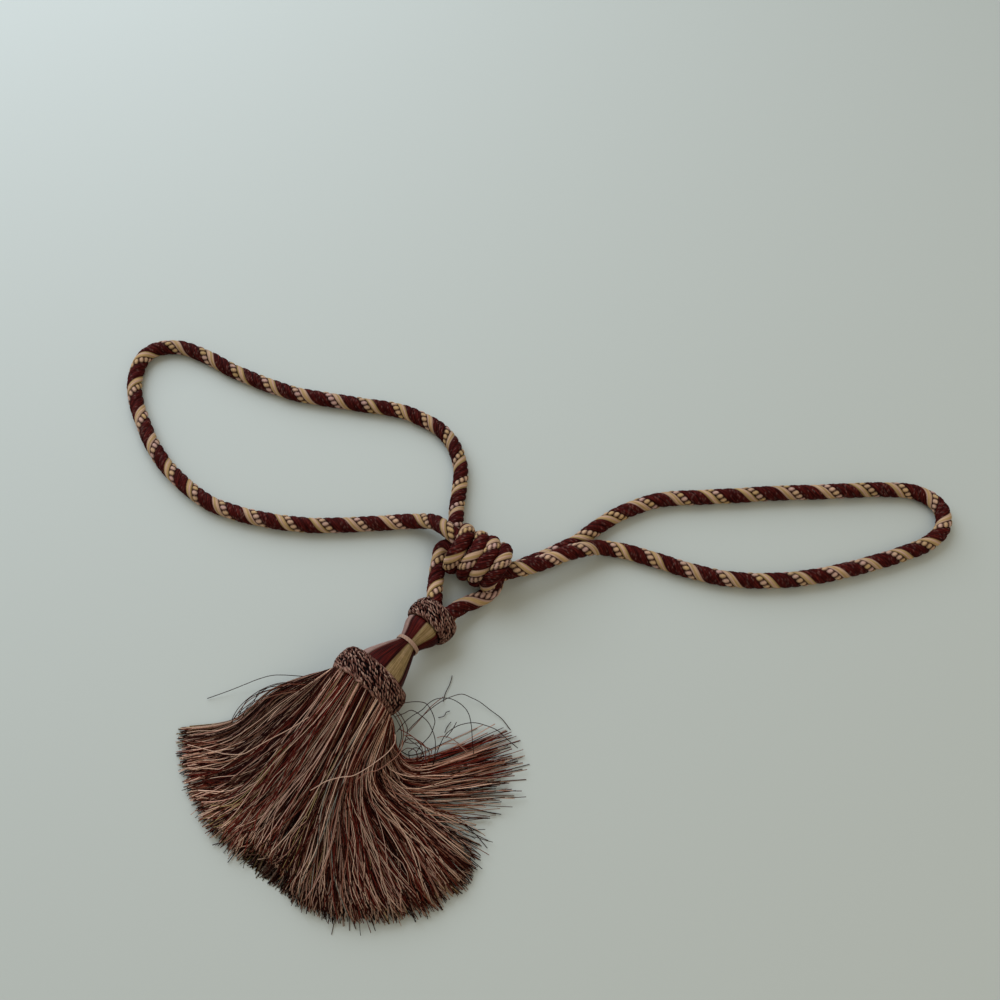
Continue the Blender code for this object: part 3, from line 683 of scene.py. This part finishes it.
skirtSettings = {
    "ruffRadius": 16.0,  # the bundle of yarns where the ruff holds it
    "rootSide": 21.5,
    "rootShift": 2.0,  # the bundle sags to the ruff's right side
    "rootRise": 16.5,
    "edgeHeight": 19.0,
    "ruffHalfLength": 6.8,
    "holeReach": 15.2,  # how far to the side a yarn may lie inside the ruff
    "fitGap": 0.4,
    "points": 16,
    "radius": 0.255,
    "layers": 5,
    "layerShift": 0.37,  # the clumps of each layer lie this share of a clump beside the last
    "shelfPlace": 6.6,  # a shorter layer lies on top at the left of the middle
    "shelfWidth": 1.5,
    "shelfDepth": 0.42,  # share of the yarns that lie in it
    "shelfCut": 0.16,
    "shelfShade": 0.6,  # how much darker the yarns under it end
    "stray": 3.4,  # mm that a tip strays to the side
    "strayLimit": 8.0,
    "swing": 3.0,  # and that a whole clump swings
    "wave": 1.3,
    "ripple": 0.5,
    "wildShare": 0.38,
    "bow": 3.2,  # mm that whole locks bow to the side half way along
    "alike": 0.22,  # share of yarns that take a dark shade from their clump
    "redShare": 0.07,
    "redLock": 0.22,  # share of red clumps in the lock that lies off to the right
    "goldShare": 0.09,
    "greyShare": 0.010,
    "redTone": 0.45,  # places in the yarn colours
    "goldTone": 0.93,
    "lightest": 0.87,
    "leftTipLight": 1.0,  # painted light: how much brighter the tips at the left are
    # how much darker each yarn's cut end is: painted shade, together with the frayed ends' own darker
    # colour
    "tipShade": 0.12,
    "archLight": 0.3,  # how much brighter the yarns are where they arch out of the ruff
    "farLight": 0.25,  # how much brighter the far ends of the lock off to the right are
    "edgeShade": 0.25,  # how much darker the first yarns at the fan's left edge are
    "buriedShade": 0.85,  # painted shade: how much darker the deepest yarns are
    "fans": (
        # piece name, first place, last place, yarns, share by which a yarn may be cut short, paler by,
        # then the width of its clumps, the share by which their tips gather into tufts, lighter by
        ("skirtYarnsLeft", 0.05, 5.6, 1290, 0.09, 0.04, 0.16, 0.3, -0.04),
        ("skirtYarnsMiddle", 5.6, 13.0, 1800, 0.045, 0.05, 0.14, 0.1, -0.03),
        ("skirtYarnsLower", 13.0, 15.1, 500, 0.08, 0.07, 0.16, 0.2, 0.08),
        ("skirtYarnsBetween", 15.0, 18.3, 88, 0.26, 0.12, 0.36, 0.5, 0.2),
        ("skirtYarnsRight", 18.2, 20.5, 170, 0.13, 0.07, 0.30, 0.75, 0.1),
    ),
    "locks": (
        # share of the way round the ruff from its left side, then three points: bend, spread and tip
        (0.030,  -36, 57, 9,  -55, 40, 5,  -86, 34, 3.5),
        (0.070,  -30, 51, 10,  -53, 29, 6,  -83, 20, 4.5),
        (0.130,  -22, 45, 12,  -49, 19, 7,  -78, 7, 5.5),
        (0.200,  -19, 39, 14,  -44, 9, 8,  -71, -4, 6.5),
        (0.290,  -17, 32, 16,  -40, 0, 9,  -62, -17, 7.5),
        (0.390,  -13, 23, 18,  -34, -9, 10,  -50, -28, 7.5),
        (0.490,  -7, 12, 19,  -26, -20, 11,  -36, -35, 7),
        (0.580,  -1, 6, 20,  -16, -27, 11.5,  -24, -44, 6.5),
        (0.660,  3, 4, 20.5,  -5, -31, 12,  -11, -51, 6),
        (0.720,  7, 4, 21,  4, -33, 12,  3, -55, 6),
        (0.770,  10, 4, 21,  12, -33, 12,  18, -57, 6),
        (0.810,  13, 4, 20.5,  21, -32, 12,  34, -58, 6),
        (0.840,  16, 5, 20,  31, -29, 11.5,  48, -54, 6),
        (0.870,  19, 6, 19,  40, -23, 11,  62, -50, 6),
        (0.895,  21.5, 8, 18,  45, -15, 10.5,  74, -41, 5.5),
        (0.915,  23.5, 10.5, 17,  46, -9, 10,  80, -28, 5),
        (0.930,  25, 13, 16,  46, -4, 9.5,  82, -11, 4.5),
        (0.945,  26.5, 15.5, 15,  45, 0, 9,  98, 1, 4.5),
        (0.960,  28, 18, 13.5,  45, 4.5, 8,  103, 11, 4.5),
        (0.975,  30, 21, 12,  46, 11, 7,  103, 23, 4),
        (0.985,  32, 24, 10,  47, 19, 6,  97, 39, 3),
    ),
}


def lockTable(place):  # root share, bend, spread and tip between the locks
    locks = np.array(skirtSettings["locks"], dtype=float)
    i = np.clip(np.floor(place).astype(int), 0, len(locks) - 2)
    return locks[i] + (locks[i + 1] - locks[i]) * (place - i)[..., None]


def fanPoint(place, along):  # points of the fan's top: place across the fan, along from ruff to cut end
    s = skirtSettings
    table = lockTable(np.broadcast_to(place, along.shape))
    bend, spread, tip = table[..., 1:4], table[..., 4:7], table[..., 7:10]
    centre, (side, upright, out) = ruffFrame()
    angle = math.pi * (1 - table[..., 0])
    level = np.cross(up, out)
    foot = (centre + out * (s["ruffHalfLength"] + s["fitGap"])
            + level * (s["rootShift"] + s["rootSide"] * np.cos(angle))[..., None])
    rise = s["edgeHeight"] + (centre[2] + s["rootRise"] - s["edgeHeight"]) * np.sin(angle)
    root = np.concatenate((foot[..., :2], rise[..., None]), axis=-1)
    knots = np.stack((root + (root - bend) * 0.6, root, bend, spread, tip, tip + (tip - spread)))
    span = np.minimum((along * 3).astype(int), 2)
    t = (along * 3 - span)[..., None]
    grid = np.indices(along.shape)
    return curveSpan(*(knots[(span + k, *grid)] for k in range(4)), t)


def rising(values, start, length):  # 0 up to start, then up to 1 over the length after it
    return np.clip((values - start) / length, 0, 1)


def skirtYarns(fan, random):  # centre lines, radii and colours of one part of the fan
    first, last, count, ragged, paler, clumpWidth, gather, lighter = fan
    s = skirtSettings
    each = (count, 1)  # one row for each yarn, the columns are points along it
    place = first + (last - first) * (np.arange(count)[:, None] + random.random(each)) / count
    depth = random.random(each) ** 1.15
    layer = np.floor(depth * s["layers"])
    clump = np.floor(place / clumpWidth + s["layerShift"] * layer + 0.5)
    middle = (clump - s["layerShift"] * layer) * clumpWidth
    key = clump * 7.0 + layer
    upper = np.clip(1 - depth * 2.2, 0, 1)
    # how far each yarn reaches to its cut end
    reach = 1.0 - ragged * random.random(each) - 0.06 * random.random(each) ** 4
    reach -= upper * (0.02 + 0.10 * spotNoise(key, 4)) * (0.3 + 0.7 * random.random(each))
    step = np.exp(-((place - s["shelfPlace"]) / s["shelfWidth"]) ** 4)
    onShelf = step * (depth < s["shelfDepth"])
    underShelf = step * (depth >= s["shelfDepth"])
    reach -= s["shelfCut"] * onShelf * (1 - 0.15 * random.random(each)) + 0.03 * underShelf
    t = np.linspace(0, 1, s["points"])[None, :]
    along = t * reach
    # neighbours draw together into clumps, and their tips into tufts
    pull = 0.6 * np.sin(math.pi * np.clip(along * 1.15, 0, 1)) ** 1.2
    pull = np.maximum(pull, gather * t ** 1.5)
    across = place + (middle - place) * pull
    top = fanPoint(np.clip(across, -0.5, len(s["locks"]) - 0.5), along)
    flow = unit(np.gradient(top, axis=1) * (1, 1, 0))
    level = np.cross(up, flow)  # to the side, at a yarn's every point
    # each yarn sways and ripples, and some run wild, less so at the fan's sides
    waves = random.uniform(0.5, 2.1, each)
    phase = random.uniform(0, 2 * math.pi, each)
    wild = np.where(random.random(each) < s["wildShare"], random.uniform(1.5, 3.5, each), 1.0)
    wild = 1 + (wild - 1) * np.clip((10.5 - np.abs(place - 10)) / 3, 0.15, 1)
    lock = np.floor(place * 0.9 + 0.5 * layer)
    bow = (spotNoise(lock, layer, 3) - 0.5) * 2 * s["bow"]
    stray = np.clip(random.normal(0, s["stray"], each) * wild, -s["strayLimit"], s["strayLimit"])
    stray += s["swing"] * (spotNoise(key, 1) - 0.5) * 2
    wave = (np.sin(2 * math.pi * waves * t + phase) - np.sin(phase)) * np.sqrt(t)
    ripples = np.sin(2 * math.pi * waves * 2.3 * t + phase * 2) * t
    sway = bow * np.sin(math.pi * t ** 1.2) + s["wave"] * wild * wave + stray * t ** 1.8
    sway += s["ripple"] * ripples
    # the outermost yarns stray inwards only
    sway = np.where(place < 1.5, np.maximum(sway, -0.6), sway)
    lines = top + level * sway[..., None]
    # heights: from the fan's top down to the table, by how deep in the fan a yarn lies
    low = s["radius"] + 6.0 * np.clip(1 - along / 0.35, 0, 1) ** 1.5
    ceiling = np.maximum(top[..., 2] - s["radius"], low + 0.2)
    sunk = depth + 0.16 * (1 - spotNoise(key, 2)) * np.sin(math.pi * t)
    sunk += underShelf * 0.4 * np.clip(t * 4 - 3, 0, 1)
    height = ceiling - (ceiling - low) * np.clip(sunk, 0, 1)
    ripple = 0.5 * np.sin(2 * math.pi * waves * 1.3 * t + phase * 1.7) * t * (1 - depth)
    spring = 1.2 * (wild > 1) * np.sin(math.pi * t) * upper
    lines[..., 2] = np.maximum(height + ripple + spring, s["radius"] + 0.02)
    lines = np.concatenate((yarnRoots(place, depth, lines[:, 0, 2:]), lines), axis=1)
    radii = np.full(lines.shape[:2], s["radius"]) * random.uniform(0.68, 1.12, each)
    radii[:, :3] *= 0.85
    # colours: the tone picks a yarn's shade, and some neighbours in a clump are alike
    own = random.random(each)
    clumpTone = 0.5 * spotNoise(key, 5)
    tone = np.where((own < s["alike"]) & (clumpTone < 0.34), clumpTone, random.random(each)) + paler
    red = (spotNoise(key, 6) < np.where(place > 18, s["redLock"], s["redShare"])) & (own < 0.8)
    gold = (spotNoise(key, 8) < s["goldShare"]) & (own < 0.7)
    tone = np.where(gold, s["goldTone"], np.minimum(tone, s["lightest"]))
    tone = np.where(red, s["redTone"], tone)
    tone = np.where((random.random(each) < s["greyShare"]) & (place < 16), 1.0, tone)
    # light: each row is how much lighter or darker, then how far that holds at each place
    ends = np.concatenate((np.zeros(2), t[0]))[None, :]
    light = (1 + lighter) * random.uniform(0.72, 1.12, each)
    for amount, share in (
            (-s["tipShade"], rising(ends, 0.965, 0.03)),
            # painted light on the tips at the left
            (s["leftTipLight"], np.clip(1.3 - place / 6, 0, 1) * rising(ends, 0.75, 0.25)),
            (-s["shelfShade"], underShelf * rising(ends, 0.8, 0.1)),
            (s["archLight"], np.clip(1.4 - ends * 4, 0, 1)),
            (s["farLight"], rising(place, 17.5, 0.8) * rising(ends, 0.5, 0.4)),
            # painted shade on the deepest yarns, less towards the tips
            (-s["buriedShade"], np.clip(depth * 1.2, 0, 1) ** 1.6 * (1 - 0.35 * ends ** 2.5)),
            (-s["edgeShade"], np.clip(1.3 - place, 0, 1))):
        light = light * (1 + amount * share)
    return lines, radii, stacked(tone, own, light, 1.0)


def yarnRoots(place, depth, heights):  # two points a yarn inside the ruff, before its first free one
    s = skirtSettings
    centre, (side, upright, out) = ruffFrame()
    level = np.cross(up, out)
    angle = math.pi * (1 - lockTable(place)[..., 0])
    inside = centre - 2.0 * out + level * (s["ruffRadius"] * 0.93 * np.cos(angle))
    inside[:, 2:] += 0.86 * s["ruffRadius"] * np.sin(angle) * (1 - 1.9 * depth)
    aside = (s["rootShift"] + (s["rootSide"] + s["ruffRadius"]) * np.cos(angle)) / 2
    aside = np.clip(aside, -s["holeReach"], s["holeReach"])
    face = centre + out * (s["ruffHalfLength"] - 1.4) + level * aside
    face[:, 2:] = (inside[:, 2:] + heights) / 2
    return np.stack((inside, face), axis=1)


def addSkirt(material):
    for number, (name, *fan) in enumerate(skirtSettings["fans"]):
        random = np.random.default_rng(30 + number)
        piece = addYarnPiece(name, material, "fringe", 3, *skirtYarns(fan, random))
        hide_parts("skirt")
        print(name, fan[2], "yarns")


looseSettings = {
    "points": 40,
    "radius": 0.21,
    "light": 0.95,
    "yarns": (
        # single yarns that have sprung out of the fan: place in the yarn colours, then the route
        (0.1, ((-72, 51, 1), (-61, 55, 3), (-51, 59, 5), (-45, 61, 7), (-36, 63, 9), (-22, 62, 12),
            (-7, 58, 20))),
        (0.2, ((-56, 37, 5), (-53, 42, 6), (-46, 48, 8), (-41, 54, 9), (-35, 57, 10), (-29, 58, 11),
            (-22, 58, 14), (-12, 57, 20))),
        (0.15, ((-53, 41, 5), (-46, 47, 7), (-43, 53, 9), (-37, 56, 10), (-30, 56, 11), (-23, 58, 14),
            (-12, 58, 22))),
        (0.3, ((-38, 44, 6), (-36, 47, 8), (-35, 51, 9), (-30, 55, 10), (-25, 57, 12), (-15, 58, 20))),
        (0.3, ((-57, 37, 3), (-54, 44, 5), (-49, 49, 8), (-42, 54, 10), (-33, 57, 13), (-21, 57, 17))),
        (0.5, ((-56, 38, 3), (-51, 46, 6), (-45, 51, 8), (-37, 54, 11), (-27, 56, 15), (-17, 55, 19))),
        (0.2, ((-53, 41, 4), (-49, 49, 7), (-41, 53, 10), (-30, 55, 13), (-19, 54, 18))),
        (0.55, ((-59, 35, 3), (-52, 41, 5), (-44, 47, 8), (-33, 51, 12), (-22, 52, 16))),
        (0.4, ((-51, 38, 5), (-48, 45, 8), (-41, 49, 11), (-31, 52, 14), (-18, 52, 19))),
        (0.86, ((-76, 24, 7), (-68, 22, 8), (-59, 20, 9), (-53, 19, 10), (-45, 19, 12), (-39, 22, 14),
            (-31, 26, 17), (-21, 31, 20), (-12, 36, 24))),
        (0.86, ((-7, 0, 20), (-3, 2, 22), (1, 4, 24), (8, 6, 25), (14, 7, 25), (20, 11, 24), (25, 15, 24),
            (30, 20, 23), (33, 25, 23), (33, 29, 24))),
        (0.6, ((15, 5, 22), (20, 9, 23), (26, 11, 23), (32, 16, 22), (36, 21, 21), (37, 27, 21))),
        (0.15, ((32, 44, 24), (36, 46, 23), (42, 47, 23), (47, 47, 21), (50, 44, 19), (52, 40, 17),
            (52, 38, 15), (50, 33, 12), (46, 29, 9), (43, 25, 7))),
        (0.2, ((32, 39, 22), (36, 41, 21), (40, 43, 21), (45, 41, 19), (49, 38, 17), (52, 33, 14),
            (53, 29, 11), (53, 24, 8), (52, 19, 5))),
        (0.05, ((33, 32, 18), (36, 37, 17), (40, 41, 17), (45, 45, 16), (48, 49, 15), (52, 52, 14),
            (56, 53, 13), (60, 53, 12), (65, 51, 10), (69, 47, 9), (71, 41, 7), (72, 33, 6),
            (73, 26, 6))),
        (0.25, ((38, 33, 16), (43, 39, 16), (49, 46, 14), (54, 51, 12), (59, 55, 9), (65, 58, 6),
            (70, 57, 4), (75, 55, 3), (81, 51, 2), (87, 47, 1), (92, 41, 1))),
        (0.1, ((52, 16, 4), (53, 22, 6), (55, 28, 9), (58, 34, 11), (63, 38, 12), (68, 40, 12),
            (73, 41, 11), (79, 40, 10), (85, 38, 9), (90, 34, 8), (96, 30, 6))),
        (0.2, ((55, 55, 1), (56, 60, 1), (58, 65, 1), (59, 70, 1))),
        (0.2, ((53, 46, 1), (56, 47, 1), (57, 49, 1), (59, 50, 1))),
        (0.3, ((30, 45, 20), (34, 42, 16), (37, 38, 13), (38, 35, 11), (37, 31, 9), (35, 26, 8),
            (33, 22, 7))),
        (0.5, ((30, 44, 19), (33, 41, 15), (35, 38, 12), (36, 34, 10), (35, 29, 8), (33, 24, 8))),
        (0.2, ((29, 43, 18), (32, 40, 14), (34, 37, 11), (35, 33, 9), (34, 27, 8))),
        (0.25, ((37, 34, 6), (40, 31, 7), (44, 28, 8), (47, 24, 7), (47, 22, 6), (44, 20, 5), (40, 22, 5),
            (39, 26, 5))),
        (0.35, ((36, 31, 5), (40, 30, 6), (45, 30, 7), (49, 27, 7), (50, 24, 6), (49, 21, 5))),
        (0.15, ((39, 26, 4), (42, 28, 5), (45, 27, 6), (47, 24, 6), (44, 22, 5), (41, 23, 4))),
        (0.5, ((38, 37, 3), (43, 43, 4), (48, 50, 4), (52, 54, 4), (55, 57, 3))),
        (0.65, ((53, 22, 4), (53, 27, 5), (56, 30, 5), (60, 31, 5), (64, 31, 5), (67, 29, 5), (70, 26, 5))),
        (0.6, ((53, 35, 1), (56, 36, 1), (60, 35, 2), (65, 32, 2), (70, 28, 4))),
        (0.2, ((57, 38, 1), (58, 41, 1), (60, 44, 1))),
        (0.2, ((58, 33, 8), (61, 38, 6), (63, 43, 4))),
        (0.45, ((34, 34, 17), (39, 32, 16), (43, 30, 14), (47, 28, 12), (48, 25, 10), (48, 20, 8),
            (44, 17, 6), (40, 18, 5))),
        (0.35, ((36, 27, 14), (39, 30, 14), (43, 30, 12), (46, 27, 10), (46, 23, 9), (43, 20, 7),
            (38, 18, 6))),
        (0.5, ((37, 31, 16), (41, 31, 15), (47, 27, 13), (51, 26, 9), (50, 22, 7), (48, 18, 5),
            (47, 15, 4))),
        (0.4, ((36, 24, 12), (39, 26, 11), (43, 25, 10), (44, 21, 8), (41, 19, 7), (37, 20, 6))),
    ),
}


def addLooseYarns(material):
    s = looseSettings
    lines = np.array([countedPoints(smoothLine(route), s["points"]) for tone, route in s["yarns"]])
    radii = np.full(lines.shape[:2], s["radius"])
    tones = np.array([tone for tone, route in s["yarns"]])[:, None]
    values = stacked(tones, tones, np.full_like(radii, s["light"]), 1.0)
    addYarnPiece("looseYarns", material, "fringe", 4, lines, radii, values)
    print("loose yarns", len(lines))


plySettings = {
    "turn": 1.7,  # mm of yarn for one turn of its plies
    "shade": 0.25,  # how much darker the grooves between them are
}


def makeYarnMaterial(name, stops, finish):
    # cut rayon yarn, plied: silky, each yarn of one dyed shade, with fine slanting grooves
    material, tree, shader = newMaterial(name, finish)
    tone, _, light, uvMap = yarnInputs(tree)
    shades = addNode(tree, "ValToRGB", links={"Fac": tone})
    setRamp(shades, stops)
    place = addNode(tree, "SeparateXYZ", links={"Vector": uvMap})
    wound = addNode(tree, "Math", {"operation": "MULTIPLY_ADD", 1: uvScale / plySettings["turn"]},
                    {0: place.outputs["X"], 2: place.outputs["Y"]})
    wave = crests(tree, wound, 1)
    colour = shadedBy(tree, shades, ((wave, -1.0, 1.0, 1 - plySettings["shade"], 1.0),))
    colour = addNode(tree, "Mix", multiplyColours, {6: colour, 7: light})
    finishMaterial(tree, shader, colour.outputs[2], wave, 0.3, 0.0001)
    return material


def makeNeckMaterial():
    # spun satin yarns laid side by side: smooth, softly shining, with fine lengthwise lines
    material, tree, shader = newMaterial("spunSatin", {"Roughness": 0.5, "Specular IOR Level": 0.06})
    tone, wayRound, light, uvMap = yarnInputs(tree)
    place = addNode(tree, "TexCoord").outputs["Object"]
    yarns = addNode(tree, "Mapping", {"Scale": (5.0, 60.0, 1.0)}, {"Vector": uvMap})
    fine = addNode(tree, "TexNoise", {"Scale": 1.0, "Detail": 2.0}, {"Vector": yarns})
    cloud = addNode(tree, "TexNoise", {"Scale": 420.0, "Detail": 3.0}, {"Vector": place})
    # single yarns are dyed a little lighter or darker
    shift = addNode(tree, "MapRange", {
        "From Min": 0.3, "From Max": 0.7, "To Min": -0.12, "To Max": 0.13}, {"Value": fine})
    shifted = addNode(tree, "Math", {"operation": "ADD"}, {0: tone, 1: shift})
    shades = addNode(tree, "ValToRGB", links={"Fac": shifted})
    setRamp(shades, ((0.0, "#260302"), (0.08, "#3a0806"), (0.34, "#641d14"), (0.5, "#8c7048"),
                     (0.6, "#9e8558"), (0.8, "#a68870"), (1.0, "#a68478")))
    wave = crests(tree, wayRound, neckSettings["yarnsRound"])
    colour = shadedBy(tree, shades, (
        (wave, -1.0, 1.0, 0.78, 1.0),  # painted shade in the grooves between the yarns
        (cloud, 0.3, 0.7, 0.85, 1.1),
        (fine, 0.3, 0.7, 0.75, 1.2)))
    # the seams between the panels and the waist are in shade
    colour = addNode(tree, "Mix", multiplyColours, {6: colour, 7: light})
    finishMaterial(tree, shader, colour.outputs[2], wave, 0.5, 0.00015)
    return material


braidMaterial = makeYarnMaterial(
    "gimpBraid", ((0.0, "#180302"), (0.14, "#38120c"), (0.3, "#72473a"), (0.7, "#9e7565"),
                  (1.0, "#bf9c87")),
    {"Roughness": 0.7, "Specular IOR Level": 0.05})
threadMaterial = makeYarnMaterial("bindingThread", ((0.0, "#b48f78"), (1.0, "#c8a68c")),
                                  {"Roughness": 0.5, "Specular IOR Level": 0.4})
fringeMaterial = makeYarnMaterial(
    "tasselYarn", ((0.0, "#190302"), (0.24, "#33100a"), (0.41, "#582819"), (0.46, "#74251b"),
                   (0.52, "#8c563f"), (0.70, "#c49680"), (0.86, "#e4bda3"), (0.93, "#ac9362"),
                   (1.0, "#8e8a7c")),
    {"Roughness": 0.55, "Specular IOR Level": 0.06})
addNeck(makeNeckMaterial())
addWaistThread(threadMaterial)
addBraid("collarBraid", "collar", neckFrame, braidMaterial, 11)
addBraid("ruffBraid", "ruff", ruffFrame, braidMaterial, 12)
addSkirt(fringeMaterial)
addLooseYarns(fringeMaterial)


# floor and light

stageSettings = {
    "floor": "#c2c9c0",
    "size": 6.0,  # in metres, as the places of the lights are
    "room": "#eee9e0",
    "roomStrength": 0.46,
    "aim": (0.09, 0.08, 0),
    "lights": (
        # name, place, size, power, colour
        ("windowLight", (-0.6, 1.0, 0.95), 1.5, 19.5, "#e2ecff"),
        ("fillLight", (0.9, -0.7, 1.4), 1.2, 4.2, "#ffecd0"),
    ),
}


def addStage():
    s = stageSettings
    mesh = bpy.data.meshes.new("floor")
    half = s["size"] / 2
    corners = [(-half, -half, 0), (half, -half, 0), (half, half, 0), (-half, half, 0)]
    mesh.from_pydata(corners, [], [(0, 1, 2, 3)])
    floor = newObject("floor", mesh)
    # matt painted board: plain and pale, with no shine
    mesh.materials.append(newMaterial("mattBoard", {"Roughness": 0.7, "Base Color": linear(s["floor"])})[0])
    bpy.context.scene.view_settings.view_transform = "Standard"
    world = bpy.data.worlds.new("softRoom")
    bpy.context.scene.world = world
    world.use_nodes = True
    background = world.node_tree.nodes["Background"]
    background.inputs["Color"].default_value = linear(s["room"])
    background.inputs["Strength"].default_value = s["roomStrength"]
    for name, place, size, power, colour in s["lights"]:
        light = bpy.data.lights.new(name, "AREA")
        light.energy = power
        light.size = size
        light.color = linear(colour)[:3]
        lamp = newObject(name, light)
        lamp.location = place
        lamp.rotation_euler = (Vector(s["aim"]) - lamp.location).to_track_quat("-Z", "Y").to_euler()
    print("stage set")


addStage()
